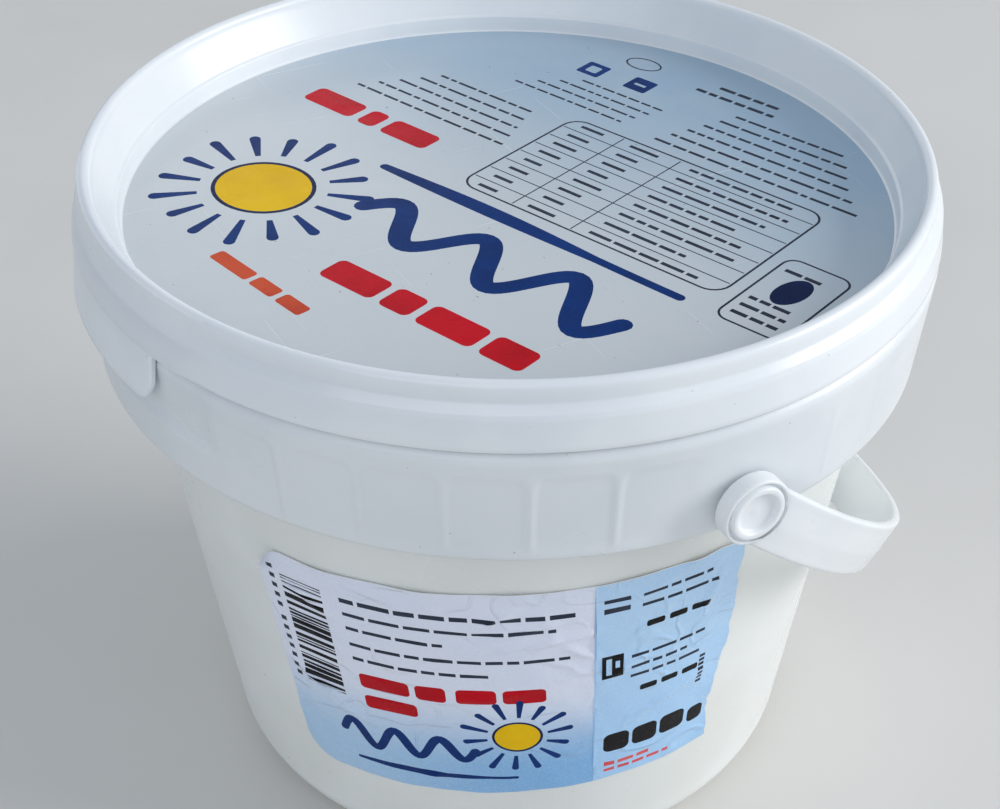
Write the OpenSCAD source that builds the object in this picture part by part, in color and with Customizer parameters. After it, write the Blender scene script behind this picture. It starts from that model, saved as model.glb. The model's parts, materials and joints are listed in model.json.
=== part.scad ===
// Round tapered plastic pot with a shut push-on lid, a paper label and a swinging bail handle.
// Millimetres. Origin at the centre of the base, +Z up, hinge of the bail along X,
// bail hanging towards +Y, lift tab of the lid at -Y.

/* [Pot] */
// Overall height, ground to the crest of the lid rim
height = 114; // [110:0.5:118]
// Outer radius of the body just above the rounded foot
foot_r = 52.8; // [51:0.1:53.5]
// Radius of the rounded edge round the base
foot_round = 7; // [5:0.5:9]
// Outer radius of the body where it meets the lower edge of the collar
body_top_r = 61.5; // [61:0.1:62]
// Height of the lower edge of the collar above the ground
collar_low_z = 84.2; // [82:0.1:86]
// Outer radius of the collar at its lower edge
collar_low_r = 67.6; // [67.2:0.1:68]
// Outer radius of the collar just under its top ledge
collar_top_r = 68.9; // [68.6:0.1:69.1]
// Wall thickness of the collar skirt
collar_wall = 1.5; // [1.2:0.1:1.7]
// Depth of the hollow behind the collar skirt
collar_hollow = 11.8; // [8:0.2:13]
// Angle between the stiffening webs behind the collar
web_pitch = 10; // [10:5:20]
// Thickness of one stiffening web
web_t = 0.9; // [0.6:0.1:1.5]

/* [Finger recess] */
// Half of the angle that the finger recess spans
recess_half = 23; // [18:1:26]
// Depth of the finger recess under the lift tab
recess_depth = 0.9; // [0.4:0.1:1.1]
// Height of the recess's lower edge above the ground
recess_low_z = 92.6; // [91:0.1:94]

/* [Lid] */
// Radius of the crest line of the lid rim
crest_r = 66; // [65.5:0.1:66.3]
// Radius of the rounded bead that forms the crest
bead_r = 1; // [0.8:0.1:1.1]
// Radius of the flat recessed panel
panel_r = 61.4; // [60.5:0.1:61.6]
// Depth of the panel below the crest
panel_depth = 9.7; // [9:0.1:10.5]
// Thickness of the lid panel
lid_t = 1.2; // [1:0.1:1.4]
// Outer radius of the lid skirt at its lower edge
skirt_r = 68.9; // [68.6:0.1:69]
// Half of the lift tab's width
tab_half_w = 17.4; // [15:0.2:24]
// Distance that the lift tab hangs below the skirt
tab_drop = 8.2; // [5:0.2:8.6]
// Corner radius of the lift tab
tab_corner = 4; // [2:0.5:4.5]

/* [Label] */
// Height of the label's lower edge above the ground
label_z0 = 20; // [18:0.5:26]
// Height of the label's upper edge above the ground
label_z1 = 72; // [64:0.5:74]
// Angle of the label's middle, measured from the +X hinge
label_mid = -30; // [-40:1:-10]
// Half of the angle that the label spans
label_half = 40; // [30:1:42]
// Thickness of the label
label_t = 0.3; // [0.2:0.05:0.4]

/* [Handle] */
// Height of the hinge above the ground
hinge_z = 89.3; // [89:0.1:91]
// Width of the strap
strap_w = 9.8; // [8:0.1:10.4]
// Thickness of the strap
strap_t = 1.8; // [1.4:0.1:2]
// Distance of the strap's middle from the centre at the hinge
strap_s = 70.6; // [70.4:0.1:71]
// Outward lean of the strap where it leaves the disc
lean = 8; // [5:0.5:10]
// Radius of the strap's first bend
bend_1 = 62; // [60:1:66]
// Heading at which the first bend ends
bend_1_end = 11; // [5:1:30]
// Angle by which the bail hangs below level
hang = 39.5; // [30:0.5:39.5]
// Radius of the pivot disc
disc_r = 5.5; // [5.3:0.1:6.6]
// Thickness of the pivot disc
disc_t = 2.9; // [2.4:0.1:3.2]
// Distance of the pivot disc's back face from the centre
disc_s = 68.95; // [68.9:0.05:69.2]
// Radius of the peg inside the collar
peg_r = 3; // [2.5:0.1:3.2]
// Radial clearance of the peg
peg_gap = 0.06; // [0.03:0.01:0.1]

/* [Hidden] */
$fn = 96;
e = 0.01;
gap = 0.08;
slope = (body_top_r - foot_r) / (collar_low_z - foot_round);
function wall_r(z) = foot_r + slope * (z - foot_round);
ledge_z = height - 12.1;
skirt_z = height - 9.8;
panel_z = height - panel_depth;
bead_z = height - bead_r;
hollow_z = collar_low_z + collar_hollow;
function collar_r(z) = collar_low_r + (collar_top_r - collar_low_r) * (z - collar_low_z) / (ledge_z - collar_low_z);
// points of a circular arc in the r-z plane
function arc(cr, cz, r, a0, a1, n) = [for (i = [0:n]) [cr + r * cos(a0 + (a1 - a0) * i / n), cz + r * sin(a0 + (a1 - a0) * i / n)]];

// outline of the lid's upper side, from the panel edge over the crest to the skirt
lid_top = concat(
    [[panel_r, panel_z], [panel_r + 0.4, panel_z + 2.7], [panel_r + 0.9, panel_z + 3.1], [crest_r - bead_r - 0.05, bead_z - 0.3]],
    arc(crest_r, bead_z, bead_r, 180, 0, 12),
    [[crest_r + bead_r, height - 3.0], [crest_r + bead_r + 0.35, height - 3.7], [skirt_r - 0.75, height - 4.3], [skirt_r - 0.6, height - 4.9], [skirt_r, skirt_z]]);
// outline of the lid's under side, from the skirt back to the panel edge
lid_under = [[skirt_r - 1.1, skirt_z], [skirt_r - 1.6, height - 5.2], [crest_r + 0.25, height - 5.2], [crest_r + 0.1, height - 2.0],
    [crest_r - 0.6, height - 2.0], [panel_r + 1.9, panel_z + 2.4], [panel_r + 1.5, panel_z + 1.9], [panel_r + 1.1, panel_z - lid_t]];
// the pot's own rim, which stands in the lid's channel
rim = [[67.3, ledge_z + 1.5], [skirt_r - 1.6 - gap, height - 5.2 - gap], [crest_r + 0.25 - gap, height - 5.2 - gap], [crest_r + 0.1 - gap, height - 2.0 - gap],
    [crest_r - 0.6 + gap * 0.6, height - 2.0 - gap], [panel_r + 1.9 + gap, panel_z + 2.4 - gap * 0.6], [panel_r + 1.5 + gap, panel_z + 1.9 - gap * 0.6], [panel_r + 1.1 + gap, panel_z - lid_t - gap]];

module pot_solid() {
    rotate_extrude($fn = 180) polygon(concat(
        [[0, 0]],
        arc(foot_r - foot_round, foot_round, foot_round, -90, 0, 14),
        [[wall_r(hollow_z), hollow_z], [collar_low_r - collar_wall + 0.15, hollow_z], [collar_low_r - collar_wall, collar_low_z + 0.3],
         [collar_low_r - collar_wall + 0.4, collar_low_z], [collar_low_r - 0.4, collar_low_z], [collar_low_r, collar_low_z + 0.4],
         [collar_r(ledge_z), ledge_z], [collar_r(ledge_z) - 0.25, ledge_z + 0.5]],
        rim,
        [[0, panel_z - lid_t - gap]]));
}

module web(a) {
    rotate([0, 0, a])
        translate([wall_r(hollow_z) - 1.5, -web_t / 2, collar_low_z + 2.5])
            cube([collar_low_r - collar_wall + 0.6 - (wall_r(hollow_z) - 1.5), web_t, collar_hollow - 2]);
}

module pot_body() {
    color([0.955, 0.945, 0.9]) difference() {
        union() {
            pot_solid();
            for (a = [web_pitch * 1.5:web_pitch:180 - web_pitch * 1.4]) { web(a); web(-a); }
        }
        // bores for the pegs of the bail
        for (m = [0, 180]) rotate([0, 0, m])
            translate([wall_r(hinge_z) + 0.6, 0, hinge_z]) rotate([0, 90, 0]) cylinder(r = peg_r + peg_gap, h = 12);
        // shallow finger recess behind the lift tab
        rotate([0, 0, -90 - recess_half]) rotate_extrude(angle = 2 * recess_half, $fn = 180)
            polygon([[collar_r(recess_low_z) - recess_depth + 0.5, recess_low_z - 0.7], [collar_r(recess_low_z) - recess_depth, recess_low_z],
                [collar_top_r - recess_depth - 0.1, ledge_z + 1], [collar_top_r + 3, ledge_z + 1], [collar_top_r + 3, recess_low_z - 0.7]]);
    }
}

module tab_outline() {
    // rounded lower corners, square upper edge
    w = tab_half_w; c = tab_corner; d = tab_drop;
    translate([-w + c, -d + c]) circle(r = c);
    translate([w - c, -d + c]) circle(r = c);
    translate([-w + c, -d]) square([2 * (w - c), d + 1]);
    translate([-w, -d + c]) square([2 * w, d - c + 1]);
}

module lid() {
    color([0.93, 0.945, 0.955]) {
        union() {
            rotate_extrude($fn = 180) polygon(concat([[0, panel_z]], lid_top, lid_under, [[0, panel_z - lid_t]]));
            // lift tab, hanging from the skirt and leaning outwards
            intersection() {
                rotate([0, 0, -115]) rotate_extrude(angle = 50, $fn = 180)
                    polygon([[skirt_r - 0.75, skirt_z + 1.5], [skirt_r - 0.2, skirt_z + 1.5], [skirt_r + 0.35, skirt_z], [skirt_r + 1.75, skirt_z - tab_drop - 1],
                        [skirt_r + 0.65, skirt_z - tab_drop - 1], [skirt_r - 0.75, skirt_z]]);
                translate([0, -40, skirt_z]) rotate([90, 0, 0]) linear_extrude(40) tab_outline();
            }
        }
    }
}

module label() {
    color([0.82, 0.86, 0.94])
        rotate([0, 0, label_mid - label_half]) rotate_extrude(angle = 2 * label_half, $fn = 180)
            polygon([[wall_r(label_z0) + 0.03, label_z0], [wall_r(label_z0) + 0.03 + label_t, label_z0],
                [wall_r(label_z1) + 0.03 + label_t, label_z1], [wall_r(label_z1) + 0.03, label_z1]]);
}

// The strap's middle line in its own plane: u along the hinge, v away from it.
// Two tangent bends: the first with radius bend_1, the second closing square at u = 0.
bend_2 = (strap_s - bend_1 * (cos(lean) - cos(bend_1_end))) / cos(bend_1_end);
c1 = [strap_s - bend_1 * cos(lean), bend_1 * sin(lean)];
c2 = [0, c1[1] + (bend_1 - bend_2) * sin(bend_1_end)];

// points of the strap's outline at offset d from its middle line, for one half
function half_line(d) = concat(
    [for (i = [0:9]) let (a = -lean + (bend_1_end + lean) * i / 9) [c1[0] + (bend_1 + d) * cos(a), c1[1] + (bend_1 + d) * sin(a)]],
    [for (i = [1:20]) let (a = bend_1_end + (90 - bend_1_end) * i / 20) [c2[0] + (bend_2 + d) * cos(a), c2[1] + (bend_2 + d) * sin(a)]]);
function flip(p) = [for (i = [len(p) - 1:-1:0]) [-p[i][0], p[i][1]]];
function rest(p) = [for (i = [1:len(p) - 1]) p[i]];

module strap() {
    // in the strap's plane: X = hinge, Y = reach, Z = width
    o = half_line(strap_t / 2);
    i = half_line(-strap_t / 2);
    whole_i = concat(i, rest(flip(i)));
    translate([0, 0, -strap_w / 2]) linear_extrude(strap_w)
        polygon(concat(o, rest(flip(o)), [for (k = [len(whole_i) - 1:-1:0]) whole_i[k]]));
}

module pivot_disc() {
    // axis along +X: face ring, groove, inner ring and dish
    rotate([0, 90, 0]) difference() {
        union() {
            translate([0, 0, disc_s]) cylinder(r = disc_r, h = disc_t);
            translate([0, 0, disc_s + disc_t - e]) cylinder(r = 4.4, h = 0.35);
            translate([0, 0, 65.55]) cylinder(r = peg_r, h = 4);
            translate([0, 0, 64.5]) cylinder(r = peg_r + 0.7, h = 1.1);
        }
        translate([0, 0, disc_s + disc_t - 0.7]) difference() {
            cylinder(r = 5, h = 2);
            translate([0, 0, -1]) cylinder(r = 4.4, h = 4);
        }
        translate([0, 0, disc_s + disc_t - 0.55]) cylinder(r = 3.1, h = 2);
    }
}

module handle() {
    color([0.92, 0.94, 0.95])
        translate([0, 0, hinge_z]) rotate([-hang, 0, 0]) union() {
            difference() {
                strap();
                // the strap ends where the discs begin
                for (m = [0, 180]) rotate([0, 0, m]) rotate([0, 90, 0]) translate([0, 0, 60]) cylinder(r = disc_r - 0.25, h = 20);
            }
            for (m = [0, 180]) rotate([0, 0, m]) pivot_disc();
        }
}

pot_body();
lid();
label();
handle();
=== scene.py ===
import json
import math
import random

import bpy
import bmesh
import numpy as np
from mathutils import Matrix, Vector
from mathutils.geometry import delaunay_2d_cdt


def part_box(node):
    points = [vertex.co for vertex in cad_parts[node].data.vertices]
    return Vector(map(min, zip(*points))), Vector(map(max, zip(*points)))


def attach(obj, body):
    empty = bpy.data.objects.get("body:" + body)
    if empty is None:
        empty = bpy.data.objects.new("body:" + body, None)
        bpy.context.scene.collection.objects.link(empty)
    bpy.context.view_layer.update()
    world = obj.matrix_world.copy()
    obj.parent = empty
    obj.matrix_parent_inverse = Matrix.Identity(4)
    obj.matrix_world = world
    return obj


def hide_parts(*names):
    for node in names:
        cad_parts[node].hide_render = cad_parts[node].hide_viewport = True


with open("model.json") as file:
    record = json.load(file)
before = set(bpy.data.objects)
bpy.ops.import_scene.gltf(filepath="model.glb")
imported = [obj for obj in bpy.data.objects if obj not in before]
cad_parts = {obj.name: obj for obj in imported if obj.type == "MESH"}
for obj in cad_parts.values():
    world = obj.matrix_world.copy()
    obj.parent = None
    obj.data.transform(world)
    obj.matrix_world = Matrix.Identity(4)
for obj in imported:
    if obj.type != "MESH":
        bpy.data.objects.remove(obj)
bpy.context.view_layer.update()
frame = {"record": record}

MM = 0.001
rng = random.Random(7)

# ------------------------------------------------------------------ sizes, from the CAD frame (mm)
lid_lo, lid_hi = [[c / MM for c in p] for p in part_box("lid")]
pot_lo, pot_hi = [[c / MM for c in p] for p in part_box("pot_body")]
H = lid_hi[2]                      # crest of the lid
SKIRT_R = lid_hi[0]                # lid skirt, lower edge
HINGE = [j for j in frame["record"]["behaviour"]["joints"]][0]["pos_m"][2] / MM
FOOT_R, FOOT_ROUND, BODY_TOP_R = 52.8, 7.0, 61.5
COL_Z, COL_LOW_R, COL_TOP_R, COL_WALL = 84.2, 67.6, pot_hi[0], 1.5
LEDGE_Z = H - 12.1
SKIRT_Z = H - 9.8
PANEL_Z, PANEL_R = H - 9.7, 61.4
CREST_R, BEAD = 66.0, 1.0
HOLLOW_Z = COL_Z + 11.8
SLOPE = (BODY_TOP_R - FOOT_R) / (COL_Z - FOOT_ROUND)


def wall_r(z):
    return FOOT_R + SLOPE * (z - FOOT_ROUND)


def col_r(z):
    return COL_LOW_R + (COL_TOP_R - COL_LOW_R) * (z - COL_Z) / (LEDGE_Z - COL_Z)


def sstep(a, b, x):
    t = np.clip((np.asarray(x, float) - a) / (b - a), 0.0, 1.0)
    return t * t * (3 - 2 * t)


def adiff(a, b):
    return (np.asarray(a, float) - b + 180.0) % 360.0 - 180.0


# smooth seeded noise on the wall: a few sines in angle and height
_w = [(rng.randint(2, 9), rng.uniform(0.02, 0.09), rng.uniform(0, 6.28), rng.uniform(0, 6.28)) for _ in range(7)]


def wobble(ang, z):
    s = 0
    for k, f, p, q in _w:
        s = s + np.sin(np.radians(ang) * k + p) * np.sin(z * f + q)
    return s / len(_w)


# ------------------------------------------------------------------ material helpers
def srgb(r, g, b):
    f = lambda c: c / 12.92 if c <= 0.04045 else ((c + 0.055) / 1.055) ** 2.4
    return (f(r / 255), f(g / 255), f(b / 255), 1.0)


class Nodes:
    def __init__(self, name):
        self.m = bpy.data.materials.new(name)
        self.m.use_nodes = True
        self.t = self.m.node_tree
        self.t.nodes.clear()
        self.out = self.t.nodes.new("ShaderNodeOutputMaterial")
        self.b = self.t.nodes.new("ShaderNodeBsdfPrincipled")
        self.t.links.new(self.b.outputs[0], self.out.inputs[0])
        self.co = self.t.nodes.new("ShaderNodeTexCoord").outputs["Object"]
        self.m.diffuse_color = (0.8, 0.8, 0.8, 1)

    def link(self, a, b):
        self.t.links.new(a, b)

    def val(self, sock, v):
        if hasattr(v, "links"):
            self.link(v, sock)
        else:
            sock.default_value = v

    def noise(self, scale, detail=3.0, rough=0.5, vec=None, lac=2.0, dist=0.0):
        n = self.t.nodes.new("ShaderNodeTexNoise")
        n.inputs["Scale"].default_value = scale
        n.inputs["Detail"].default_value = detail
        n.inputs["Roughness"].default_value = rough
        n.inputs["Lacunarity"].default_value = lac
        n.inputs["Distortion"].default_value = dist
        self.link(vec or self.co, n.inputs["Vector"])
        return n.outputs["Fac"]

    def math(self, op, a, b=0.0, c=0.0, clamp=False):
        n = self.t.nodes.new("ShaderNodeMath")
        n.operation = op
        n.use_clamp = clamp
        for i, v in enumerate((a, b, c)):
            if i < len(n.inputs):
                self.val(n.inputs[i], v)
        return n.outputs[0]

    def map(self, v, a, b, c=0.0, d=1.0, smooth=True):
        n = self.t.nodes.new("ShaderNodeMapRange")
        n.interpolation_type = "SMOOTHSTEP" if smooth else "LINEAR"
        self.val(n.inputs["Value"], v)
        n.inputs["From Min"].default_value = a
        n.inputs["From Max"].default_value = b
        n.inputs["To Min"].default_value = c
        n.inputs["To Max"].default_value = d
        return n.outputs["Result"]

    def mix(self, f, a, b):
        n = self.t.nodes.new("ShaderNodeMix")
        n.data_type = "RGBA"
        self.val(n.inputs[0], f)
        self.val(n.inputs[6], a)
        self.val(n.inputs[7], b)
        return n.outputs[2]

    def xyz(self, vec=None):
        n = self.t.nodes.new("ShaderNodeSeparateXYZ")
        self.link(vec or self.co, n.inputs[0])
        return n.outputs

    def mapping(self, rot=(0, 0, 0), scale=(1, 1, 1), loc=(0, 0, 0)):
        n = self.t.nodes.new("ShaderNodeMapping")
        n.inputs["Rotation"].default_value = rot
        n.inputs["Scale"].default_value = scale
        n.inputs["Location"].default_value = loc
        self.link(self.co, n.inputs["Vector"])
        return n.outputs[0]

    def bump(self, h, dist, strength=1.0, normal=None):
        n = self.t.nodes.new("ShaderNodeBump")
        n.inputs["Strength"].default_value = strength
        n.inputs["Distance"].default_value = dist
        self.link(h, n.inputs["Height"])
        if normal is not None:
            self.link(normal, n.inputs["Normal"])
        return n.outputs[0]

    def scratches(self, rot, scale, lo=0.75, hi=0.785):
        # thin straight scuffs: noise drawn out along one direction, thresholded
        v = self.mapping(rot=rot, scale=scale)
        return self.map(self.noise(1.0, 2.0, 0.55, vec=v), lo, hi)


def plastic(name, base, tint, rough=(0.26, 0.40), sss=0.12, peel=0.00003, print_scuff=False):
    """Moulded polypropylene: mottled colour, orange peel, faint flow lines, fine scuffs, waxy depth."""
    n = Nodes(name)
    big = n.noise(38, 3, 0.5)
    fine = n.noise(420, 4, 0.6)
    col = n.mix(n.map(big, 0.36, 0.66), base, tint)
    col = n.mix(n.math("MULTIPLY", n.map(fine, 0.55, 0.75), 0.10), col, tint)
    sc = n.math("MAXIMUM", n.scratches((0.3, 0.2, 0.5), (48, 1900, 1900)), n.scratches((0.9, 0.1, 2.1), (1700, 42, 1700)))
    specks = n.map(n.noise(900, 1, 0.4), 0.80, 0.83)
    dark = tuple(c * 0.55 for c in tint[:3]) + (1.0,)
    col = n.mix(n.math("MULTIPLY", specks, 0.5), col, dark)
    n.link(col, n.b.inputs["Base Color"])
    r = n.map(n.noise(34, 3, 0.5), 0.3, 0.7, rough[0], rough[1])
    r = n.math("ADD", r, n.math("MULTIPLY", sc, 0.10))
    n.link(r, n.b.inputs["Roughness"])
    hgt = n.math("ADD", n.math("MULTIPLY", n.noise(1500, 2, 0.5), 0.35), n.math("MULTIPLY", n.noise(210, 2, 0.5), 1.1))
    hgt = n.math("SUBTRACT", hgt, n.math("MULTIPLY", sc, 0.3))
    n.link(n.bump(hgt, peel, 0.8), n.b.inputs["Normal"])
    n.b.inputs["IOR"].default_value = 1.49
    n.b.inputs["Subsurface Weight"].default_value = sss
    n.b.inputs["Subsurface Radius"].default_value = (1.0, 0.95, 0.9)
    n.b.inputs["Subsurface Scale"].default_value = 0.004
    n.m.diffuse_color = base
    return n.m


def ink(name, colour, var, rough=0.27, wear=0.05):
    """Printed ink on film or paper: slightly uneven laydown, halftone grain, small pinholes."""
    n = Nodes(name)
    col = n.mix(n.map(n.noise(90, 4, 0.6), 0.35, 0.68), colour, var)
    grain = n.map(n.noise(5200, 1, 0.5), 0.42, 0.62)
    col = n.mix(n.math("MULTIPLY", grain, 0.12), col, var)
    pin = n.map(n.noise(1300, 2, 0.6), 0.74, 0.79)
    col = n.mix(n.math("MULTIPLY", pin, wear), col, (0.75, 0.77, 0.80, 1))
    n.link(col, n.b.inputs["Base Color"])
    n.link(n.map(n.noise(220, 3, 0.6), 0.3, 0.7, rough - 0.06, rough + 0.10), n.b.inputs["Roughness"])
    n.link(n.bump(n.noise(700, 3, 0.55), 0.00002, 0.6), n.b.inputs["Normal"])
    n.b.inputs["IOR"].default_value = 1.5
    n.b.inputs["Specular IOR Level"].default_value = 0.10
    n.m.diffuse_color = colour
    return n.m


BLUE = ink("ink_blue", srgb(0, 52, 120), srgb(0, 43, 104))
NAVY = ink("ink_navy", srgb(4, 34, 84), srgb(4, 26, 66))
RED = ink("ink_red", srgb(206, 6, 30), srgb(184, 4, 24))
ORANGE = ink("ink_orange", srgb(214, 84, 48), srgb(192, 66, 40))
YELLOW = ink("ink_yellow", srgb(244, 198, 2), srgb(234, 184, 0))
TEXT = ink("ink_text", srgb(52, 60, 76), srgb(40, 46, 60))
BLACK = ink("ink_black", srgb(22, 20, 24), srgb(12, 12, 14))
PINK = ink("ink_pink", srgb(232, 96, 96), srgb(214, 78, 84))
PALE = ink("ink_white", srgb(238, 240, 244), srgb(228, 232, 240))


# ------------------------------------------------------------------ mesh helpers
def build(name, verts, faces, mats, idx=None, smooth=True, sharp=None):
    me = bpy.data.meshes.new(name)
    me.from_pydata([tuple(c * MM for c in v) for v in verts], [], [tuple(f) for f in faces])
    for m in mats:
        me.materials.append(m)
    if idx is not None:
        me.polygons.foreach_set("material_index", np.array(idx, dtype=np.int32))
    me.polygons.foreach_set("use_smooth", np.full(len(me.polygons), smooth, dtype=bool))
    me.validate()
    me.update()
    o = bpy.data.objects.new(name, me)
    bpy.context.scene.collection.objects.link(o)
    return o


def fix_normals(o, merge=0.0):
    bm = bmesh.new()
    bm.from_mesh(o.data)
    if merge:
        bmesh.ops.remove_doubles(bm, verts=bm.verts, dist=merge * MM)
    bmesh.ops.recalc_face_normals(bm, faces=bm.faces)
    bm.to_mesh(o.data)
    bm.free()


def sharp_by_angle(o, deg):
    bm = bmesh.new()
    bm.from_mesh(o.data)
    lim = math.radians(deg)
    for e in bm.edges:
        e.smooth = not (len(e.link_faces) == 2 and e.calc_face_angle(0) > lim)
    bm.to_mesh(o.data)
    bm.free()


def dense(points, step):
    """Adds points along a polyline of (r, z) so that no piece is longer than step(z)."""
    out = [points[0]]
    for (r0, z0), (r1, z1) in zip(points, points[1:]):
        d = math.hypot(r1 - r0, z1 - z0)
        s = step if not callable(step) else step((r0 + r1) / 2, (z0 + z1) / 2)
        n = max(1, int(math.ceil(d / s)))
        for i in range(1, n + 1):
            out.append((r0 + (r1 - r0) * i / n, z0 + (z1 - z0) * i / n))
    return out


def arc(cr, cz, r, a0, a1, n):
    return [(cr + r * math.cos(math.radians(a0 + (a1 - a0) * i / n)), cz + r * math.sin(math.radians(a0 + (a1 - a0) * i / n))) for i in range(n + 1)]


def rounded(points, rad, n=5):
    """Rounds the inner corners of an open polyline of (r, z); rad is one radius or one for each corner."""
    out = [points[0]]
    for i in range(1, len(points) - 1):
        r = rad[i - 1] if isinstance(rad, (list, tuple)) else rad
        p = np.array(points[i]); a = np.array(points[i - 1]) - p; b = np.array(points[i + 1]) - p
        la, lb = np.linalg.norm(a), np.linalg.norm(b)
        if r <= 0 or la < 1e-6 or lb < 1e-6:
            out.append(tuple(p)); continue
        a /= la; b /= lb
        half = math.acos(max(-1, min(1, float(a @ b)))) / 2
        t = min(r / max(math.tan(half), 1e-3), la * 0.45, lb * 0.45)
        p0, p1 = p + a * t, p + b * t
        for k in range(n + 1):
            u = k / n
            out.append(tuple((1 - u) ** 2 * p0 + 2 * u * (1 - u) * p + u * u * p1))
    out.append(points[-1])
    return out


def lathe(profile, angles):
    """Rings of (r, z) round Z; a ring with r = 0 is one vertex. Returns verts, faces, and the ring start indices."""
    V, F, ring = [], [], []
    n = len(angles)
    ca, sa = np.cos(np.radians(angles)), np.sin(np.radians(angles))
    for r, z in profile:
        ring.append(len(V))
        if r < 1e-6:
            V.append((0, 0, z))
        else:
            V.extend(zip(r * ca, r * sa, np.full(n, z)))
    for k in range(len(profile) - 1):
        a, b = ring[k], ring[k + 1]
        pa, pb = profile[k][0] < 1e-6, profile[k + 1][0] < 1e-6
        for i in range(n):
            j = (i + 1) % n
            if pa and pb:
                continue
            if pa:
                F.append((a, b + j, b + i))
            elif pb:
                F.append((a + i, a + j, b))
            else:
                F.append((a + i, a + j, b + j, b + i))
    return V, F, ring


# ------------------------------------------------------------------ pot: body, collar, webs
RIB = [a for a in range(15, 180, 10)]
RIBS = [float(a) - 1.4 for a in RIB] + [-float(a) - 1.4 for a in RIB]
TAB_A = -90.0


def angle_set():
    s = set(np.round(np.arange(-180, 180, 1.0), 3))
    for r in RIBS:
        for d in (-1.2, -0.9, -0.7, -0.5, -0.3, 0, 0.3, 0.5, 0.7, 0.9, 1.2):
            s.add(round(((r + d + 180) % 360) - 180, 3))
    a = sorted(s)
    return np.array([x for i, x in enumerate(a) if i == 0 or x - a[i - 1] > 0.12])


ANG = angle_set()

pot_prof = (
    [(0.0, 1.5), (3.0, 1.5), (3.6, 1.1), (30.0, 1.1), (38.6, 1.1), (39.6, 0.8), (40.3, 0.15), (40.9, 0.0), (45.8, 0.0)]
    + arc(FOOT_R - FOOT_ROUND, FOOT_ROUND, FOOT_ROUND, -90, 0, 14)[1:]
    + dense([(FOOT_R, FOOT_ROUND), (wall_r(HOLLOW_Z - 1), HOLLOW_Z - 1)], 3.2)[1:]
    + [(wall_r(HOLLOW_Z) + 0.3, HOLLOW_Z - 0.25), (wall_r(HOLLOW_Z) + 1.2, HOLLOW_Z), (COL_LOW_R - COL_WALL - 1.0, HOLLOW_Z), (COL_LOW_R - COL_WALL + 0.0, HOLLOW_Z - 0.4)]
    + dense([(COL_LOW_R - COL_WALL, HOLLOW_Z - 1.0), (COL_LOW_R - COL_WALL, COL_Z + 0.5)], 3.0)
    + [(COL_LOW_R - COL_WALL + 0.15, COL_Z + 0.12), (COL_LOW_R - COL_WALL + 0.45, COL_Z), (COL_LOW_R - 0.55, COL_Z), (COL_LOW_R - 0.2, COL_Z + 0.1), (COL_LOW_R, COL_Z + 0.45)]
    + dense([(col_r(COL_Z + 0.9), COL_Z + 0.9), (col_r(LEDGE_Z - 0.6), LEDGE_Z - 0.6)], 0.5)
    + [(COL_TOP_R, LEDGE_Z - 0.1), (COL_TOP_R - 0.06, LEDGE_Z + 0.35), (COL_TOP_R - 0.2, LEDGE_Z + 0.75), (COL_TOP_R - 0.45, LEDGE_Z + 1.15),
       (68.1, LEDGE_Z + 1.5), (67.6, LEDGE_Z + 1.75), (67.2, LEDGE_Z + 1.85)]
    + [(67.05, 104.6), (66.9, H - 5.4), (66.1, H - 5.4), (65.9, H - 2.3), (65.3, H - 2.3), (63.6, PANEL_Z + 2.2), (62.7, PANEL_Z - 1.4), (0.0, PANEL_Z - 1.4)]
)
V, F, ring = lathe(pot_prof, ANG)
V = np.array(V, float)
r = np.hypot(V[:, 0], V[:, 1]); z = V[:, 2]
ang = np.degrees(np.arctan2(V[:, 1], V[:, 0]))
outer = (r > 49) & (z > 2) & (z < LEDGE_Z + 2.2)
collar = (r > COL_LOW_R - 0.45) & (z > COL_Z - 0.1) & (z < LEDGE_Z + 1.7)
dr = np.zeros(len(V))
# slow waviness of the moulded walls
dr += np.where(outer & ~collar & (z < COL_Z - 3), 0.10 * wobble(ang, z) * sstep(8, 20, z), 0)
dr += np.where(collar, 0.05 * wobble(ang + 40, z * 1.7) - 0.03, 0)
# raised lines over the hidden webs, with slightly sunk panels between
rib = np.zeros(len(V))
for a in RIBS:
    d = adiff(ang, a) * math.pi / 180 * 68.4
    w_ = 0.62 + 0.75 * np.exp(-np.maximum(LEDGE_Z - 2.6 - z, 0) / 1.3)
    rib = np.maximum(rib, np.exp(-(np.abs(d) / w_) ** 3))
near_tab = sstep(30, 24, np.abs(adiff(ang, TAB_A)))
near_piv = np.maximum(sstep(9, 6, np.abs(adiff(ang, 0))), sstep(9, 6, np.abs(adiff(ang, 180))))
mid = sstep(COL_Z + 0.8, COL_Z + 3.0, z) * sstep(LEDGE_Z - 2.0, LEDGE_Z - 3.0, z)
soft = 1.0 - 0.7 * sstep(2.0, 12.0, ang) * sstep(80.0, 60.0, ang)
dr += np.where(collar, (0.07 * rib - 0.17 * (1 - rib)) * mid * soft * (1 - near_tab) * (1 - near_piv), 0)
# finger recess under the lift tab: sharp lower edge, sides that fade out
rec_side = sstep(27.5, 15.0, np.abs(adiff(ang, TAB_A)))
rec_side_top = sstep(25.0, 21.5, np.abs(adiff(ang, TAB_A)))
low_edge = 92.4 + 0.0 * z
rec = sstep(-0.45, 0.35, z - low_edge)
dr += np.where(collar, -0.85 * rec * (0.35 * rec_side_top + 0.65 * rec_side), 0)
# a little bulge just under the recess edge
dr += np.where(collar, 0.10 * np.exp(-((z - low_edge + 0.9) / 0.7) ** 2) * rec_side, 0)
k = np.where(r > 1e-6, (r + dr) / np.maximum(r, 1e-6), 1)
V[:, 0] *= k; V[:, 1] *= k

# webs behind the collar, joined as closed boxes with rounded ends
WV, WF = [], []


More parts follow.
